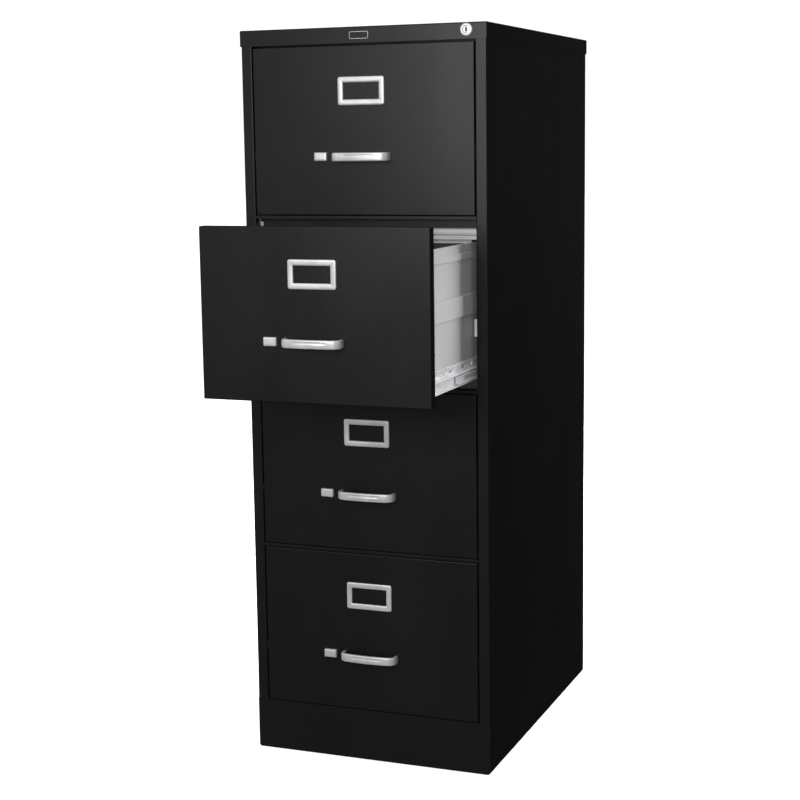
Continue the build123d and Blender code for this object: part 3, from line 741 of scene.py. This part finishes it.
def add_nameplate():
    """A small blank plate: a bright rim round a dark enamelled field."""
    low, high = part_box("nameplate")
    place = facing(FRONT, (low.x + high.x) / 2, high.y, (low.z + high.z) / 2)
    width = high.x - low.x
    height = high.z - low.z
    rim = raised(PLATE_RIM_PROFILE, width, height, PLATE_CORNER, ring=True)
    rim.transform(place)
    add_piece("nameplate_rim", rim, "case", "bright_chrome", "nameplate")
    inner = PLATE_FIELD_INSET
    outline = rounded_rectangle(width - 2 * inner, height - 2 * inner, PLATE_CORNER - inner)
    field = cut_sheet([outline], PLATE_FIELD_RISE, PLATE_FIELD_RIM)
    field.transform(place)
    add_piece("nameplate_field", field, "case", "black_paint")


def add_rail_channels():
    """The rolled grey channels behind the rails, with a lip, a hem and a tab at each end."""
    low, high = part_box("rail_channels")
    quarter = Matrix.Rotation(math.pi / 2, 4, "Z")
    tab = raised(TAB_PROFILE, TAB_WIDTH, TAB_HEIGHT, TAB_CORNER)
    tab_back = low.y + TAB_THICKNESS
    parts = []
    for number in DRAWERS:
        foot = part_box(f"drawer_{number}_front")[1].z - CHANNEL_DROP
        back = CHANNEL_SHORT_TOP if number == 1 else CHANNEL_WEB
        for profile, span in ((back + CHANNEL_FACE, high.x), (CHANNEL_HEM, CHANNEL_HEM_HALF)):
            path = [(low.y + depth * MM, foot + rise * MM) for depth, rise in profile]
            parts.append((fold(path, CHANNEL_SHEET, CHANNEL_BEND, (-span, span)), quarter))
        for side in (-1, 1):
            across = side * (high.x - TAB_WIDTH / 2)
            parts.append((tab, facing(FRONT, across, tab_back, foot + TAB_HEIGHT / 2)))
    add_piece("rolled_channels", gathered(parts), "case", "grey_paint", "rail_channels")


def slide_plate(length, height):
    """A slide member's riveting plate, with its holes: X runs along the slide from its front end."""
    holes = []
    for side in (-1, 1):
        rise = height - HOLE_DOWN + side * HOLE_SPREAD
        holes.append(circle(HOLE_RADIUS, SMALL_SIDES, HOLE_BACK, rise))
    for back in SLOTS_BACK:
        holes.append(slot_outline(SLOT_LENGTH, SLOT_HEIGHT, back * MM, height - SLOT_DOWN))
    corners = rounded_rectangle(length, height, SLIDE_CORNER)
    outline = [(length / 2 + u, height / 2 + v) for u, v in corners]
    return cut_sheet([outline, *holes], SLIDE_SHEET, SLIDE_RIM)


def slide_channel(outer, inner, middle, span):
    """The C-section below a slide's plate: open outward, about a middle height, along Y over a span."""
    half = SLIDE_CHANNEL_HALF - SLIDE_SHEET / 2
    top = middle + half
    bottom = middle - half
    path = [(outer, top), (inner, top), (inner, bottom), (outer, bottom)]
    return fold(path, SLIDE_SHEET, SLIDE_BEND, span)


def facing_out(mesh):
    """Turns every face's normal outward, after one copy was mirrored."""
    shape = bmesh.new()
    shape.from_mesh(mesh)
    bmesh.ops.recalc_face_normals(shape, faces=shape.faces)
    shape.to_mesh(mesh)
    shape.free()


def add_slides(number):
    """A drawer's two slide members: a pierced plate riveted to the tray, and a C-section below."""
    name = f"drawer_{number}_slides"
    low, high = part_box(name)
    tray_side = high.x - SLIDE_LIP
    plate = slide_plate(high.y - low.y, high.z - low.z)
    rivet = turned(RIVET_HEAD, sides=SMALL_SIDES)
    middle = low.z + SLIDE_CHANNEL_RISE
    web = tray_side + SLIDE_SHEET * 1.5
    channel = slide_channel(high.x, web, middle, (low.y, high.y))
    rivet_height = high.z - RIVET_DOWN
    mirror = Matrix.Scale(-1, 4, (1, 0, 0))
    parts = []
    for place in (Matrix.Identity(4), mirror):
        parts.append((channel, place))
        parts.append((plate, place @ facing(RIGHT, tray_side, low.y, low.z)))
        for back in RIVETS_BACK:
            seat = facing(RIGHT, tray_side + SLIDE_SHEET, low.y + back * MM, rivet_height)
            parts.append((rivet, place @ seat))
    members = gathered(parts)
    facing_out(members)
    add_piece(f"drawer_{number}_slide_members", members, f"drawer_{number}", "zinc_steel", name)


def add_welds():
    """The dimples of the spot welds up both edges of the back sheet."""
    low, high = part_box("back_panel")
    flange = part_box("right_side_panel")[1].y
    dimple = turned(WELD_DIMPLE, sides=SMALL_SIDES)
    parts = []
    for side in (-1, 1):
        for row in range(WELD_ROWS):
            height = low.z + (high.z - low.z - WELD_MARGIN) * (row + 0.5) / WELD_ROWS
            parts.append((dimple, facing(BACK, side * (high.x - WELD_INSET), flange, height)))
    add_piece("back_welds", gathered(parts), "case", "black_paint")


def camera():
    """The camera, turned by yaw, then pitched down, then rolled about its own line of sight."""
    forward = Vector(
        (
            -math.sin(CAMERA_YAW) * math.cos(CAMERA_PITCH),
            math.cos(CAMERA_YAW) * math.cos(CAMERA_PITCH),
            -math.sin(CAMERA_PITCH),
        )
    )
    right = Vector((math.cos(CAMERA_YAW), math.sin(CAMERA_YAW), 0))
    up = right.cross(forward)
    right, up = (
        right * math.cos(CAMERA_ROLL) + up * math.sin(CAMERA_ROLL),
        up * math.cos(CAMERA_ROLL) - right * math.sin(CAMERA_ROLL),
    )
    data = bpy.data.cameras.new("camera")
    data.lens = CAMERA_LENS
    data.sensor_width = SENSOR
    data.clip_end = CLIP_END
    holder = bpy.data.objects.new("camera", data)
    turn = Matrix((right, up, -forward)).transposed().to_4x4()
    holder.matrix_world = Matrix.Translation(CAMERA_PLACE) @ turn
    bpy.context.scene.collection.objects.link(holder)
    bpy.context.scene.camera = holder


def softbox(name, place, target, size, watts, gloss=True):
    """A rectangular area light that faces a target, and shows in reflections unless gloss is off."""
    data = bpy.data.lights.new(name, "AREA")
    data.shape = "RECTANGLE"
    data.size, data.size_y = size
    data.energy = watts
    lamp = bpy.data.objects.new(name, data)
    lamp.location = place
    lamp.rotation_euler = (Vector(target) - Vector(place)).to_track_quat("-Z", "Y").to_euler()
    lamp.visible_glossy = gloss
    lamp.visible_camera = False
    bpy.context.scene.collection.objects.link(lamp)


def overhead():
    """Soft light from straight above, as even far across the floor as it is close by."""
    data = bpy.data.lights.new("overhead", "SUN")
    data.energy = OVERHEAD_STRENGTH
    data.angle = OVERHEAD_ANGLE
    lamp = bpy.data.objects.new("overhead", data)
    lamp.visible_glossy = False
    bpy.context.scene.collection.objects.link(lamp)


class Surround:
    """The white room: plain white where it is seen, and shaded for soft light and for reflections."""

    def __init__(self):
        self.world = bpy.data.worlds.new("studio")
        self.world.use_nodes = True
        self.world.cycles.sampling_method = "NONE"
        self.tree = self.world.node_tree
        self.tree.nodes.clear()
        direction = self.tree.nodes.new("ShaderNodeTexCoord").outputs["Generated"]
        split = self.tree.nodes.new("ShaderNodeSeparateXYZ")
        self.tree.links.new(direction, split.inputs[0])
        self.x, self.y, self.z = split.outputs

    def ramp(self, value, low, high, at_low, at_high):
        """Goes smoothly from at_low to at_high as a value goes from low to high."""
        node = self.tree.nodes.new("ShaderNodeMapRange")
        node.interpolation_type = "SMOOTHSTEP"
        for name, number in zip(RANGE_SOCKETS, (low, high, at_low, at_high)):
            node.inputs[name].default_value = number
        self.tree.links.new(value, node.inputs["Value"])
        return node.outputs["Result"]

    def times(self, first, second):
        """Two brightnesses multiplied."""
        node = self.tree.nodes.new("ShaderNodeMath")
        node.operation = "MULTIPLY"
        self.tree.links.new(first, node.inputs[0])
        self.tree.links.new(second, node.inputs[1])
        return node.outputs[0]

    def glow(self, strength):
        """White light of a given strength."""
        node = self.tree.nodes.new("ShaderNodeBackground")
        if isinstance(strength, bpy.types.NodeSocket):
            self.tree.links.new(strength, node.inputs["Strength"])
        else:
            node.inputs["Strength"].default_value = strength
        node.inputs["Color"].default_value = (1, 1, 1, 1)
        return node.outputs[0]

    def choose(self, share, otherwise, chosen):
        """One light where the share is 1, and another where it is 0."""
        node = self.tree.nodes.new("ShaderNodeMixShader")
        self.tree.links.new(share, node.inputs["Fac"])
        self.tree.links.new(otherwise, node.inputs[1])
        self.tree.links.new(chosen, node.inputs[2])
        return node.outputs[0]

    def build(self):
        """Soft light mostly from the front left, and reflections mostly of what is ahead and above."""
        path = self.tree.nodes.new("ShaderNodeLightPath")
        upper = self.ramp(self.z, *MIRRORED_UP)
        ahead = self.ramp(self.y, *MIRRORED_BACK)
        mirrored = self.glow(self.times(upper, ahead))
        front = self.ramp(self.y, *SOFT_BACK)
        left = self.ramp(self.x, *SOFT_RIGHT)
        soft = self.glow(self.times(front, left))
        room = self.choose(path.outputs["Is Glossy Ray"], soft, mirrored)
        room = self.choose(path.outputs["Is Camera Ray"], room, self.glow(WHITE_SEEN))
        out = self.tree.nodes.new("ShaderNodeOutputWorld")
        self.tree.links.new(room, out.inputs["Surface"])
        bpy.context.scene.world = self.world


def floor():
    """A pale floor that the paint doesn't mirror and that throws no light back up."""
    mesh = bpy.data.meshes.new("floor")
    h = FLOOR_HALF
    corners = [(-h, -h, 0), (h, -h, 0), (h, h, 0), (-h, h, 0)]
    mesh.from_pydata(corners, [], [(0, 1, 2, 3)])
    s = Surface("floor", Roughness=0.9, Specular_IOR_Level=0.1)
    tone = s.blend(s.noise(FLOOR_PATCHES), FLOOR_DIM, FLOOR_CLEAR)
    mesh.materials.append(s.finish(Base_Color=tone))
    plane = bpy.data.objects.new("floor", mesh)
    bpy.context.scene.collection.objects.link(plane)
    plane.visible_glossy = False
    plane.visible_diffuse = False


def studio():
    """Floor, surround, softboxes and camera."""
    floor()
    Surround().build()
    softbox("key", *KEY)
    softbox("back_right", *BACK_RIGHT, gloss=False)
    softbox("fill", *FILL, gloss=False)
    overhead()
    camera()
    bpy.context.scene.view_settings.view_transform = "Standard"


studio()
paint_nodes()
for number in DRAWERS:
    add_handle(number)
    add_label_frame(number)
    add_thumb_button(number)
    add_slides(number)
add_lock()
add_nameplate()
add_rail_channels()
add_welds()
